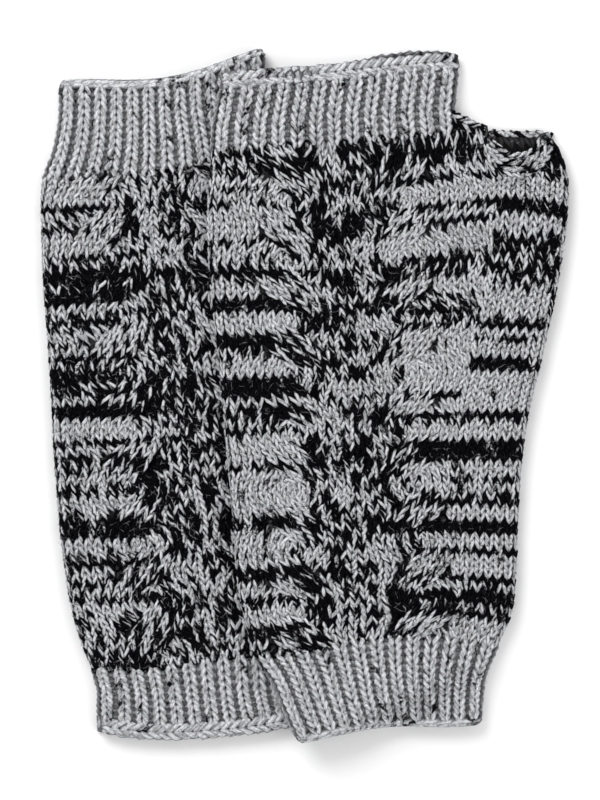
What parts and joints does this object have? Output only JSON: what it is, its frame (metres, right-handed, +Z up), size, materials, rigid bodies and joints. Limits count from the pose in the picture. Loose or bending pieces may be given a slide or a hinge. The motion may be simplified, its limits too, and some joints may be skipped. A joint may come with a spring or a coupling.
{
  "type": "pair of fingerless wool gloves",
  "caption": "Pair of long fingerless knitted gloves lying flat, one over the other head to tail, with ribbed cuffs, cabled backs and a bound thumb opening on each.",
  "frame": {"origin": "the middle of the pair's bounding box, on the surface that the gloves lie on", "axes": "+Z up from the surface; +Y along the gloves, towards the upper glove's fingers and the lower glove's wrist; +X across, towards the upper glove's thumb"},
  "size_m": [0.1694, 0.2222, 0.0144],
  "materials": {
    "marl_knit": "wool stockinette with cables, in rows of black and light grey heather yarn",
    "grey_rib": "knit one, purl one rib in light grey heather wool",
    "grey_edge": "rolled chain bind-off in light grey heather wool",
    "marl_edge": "chain bind-off in black and grey marled wool"
  },
  "bodies": {
    "root": {"upper_hand": "marl_knit", "upper_wrist_rib": "grey_rib", "upper_finger_rib": "grey_rib", "upper_finger_edge": "grey_edge", "upper_thumb_edge": "marl_edge", "lower_hand": "marl_knit", "lower_wrist_rib": "grey_rib", "lower_finger_rib": "grey_rib", "lower_finger_edge": "grey_edge", "lower_thumb_edge": "marl_edge"}
  },
  "joints": []
}
